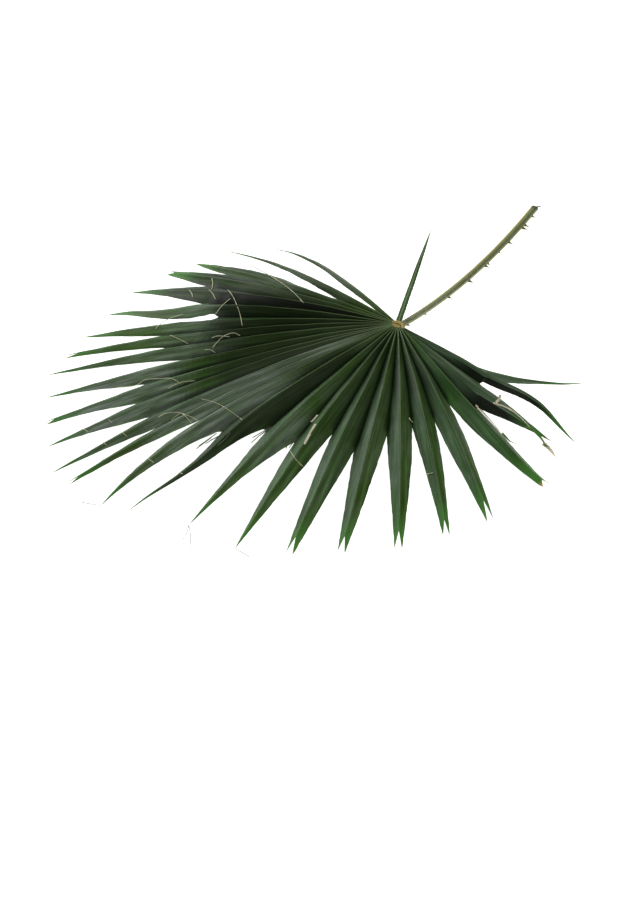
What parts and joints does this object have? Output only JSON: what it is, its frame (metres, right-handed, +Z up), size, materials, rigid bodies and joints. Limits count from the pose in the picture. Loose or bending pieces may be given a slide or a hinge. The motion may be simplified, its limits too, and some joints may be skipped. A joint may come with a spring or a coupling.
{
  "type": "fan palm leaf",
  "caption": "Cut fan palm leaf with pleated, deeply split green blade and thorny stalk, lying with the crests of its pleats up.",
  "frame": {"origin": "on the surface the leaf lies on, under the middle of its outline", "axes": "+Z up, away from the surface; the stalk points towards +Y and +X, the longest segments towards -X and -Y"},
  "size_m": [0.6204, 0.6525, 0.0734],
  "materials": {
    "leaf_green": "satin",
    "stalk_green": "satin",
    "hastula_tan": "matte"
  },
  "bodies": {
    "root": {"blade": "leaf_green", "stalk": "stalk_green", "hastula": "hastula_tan"}
  },
  "joints": []
}
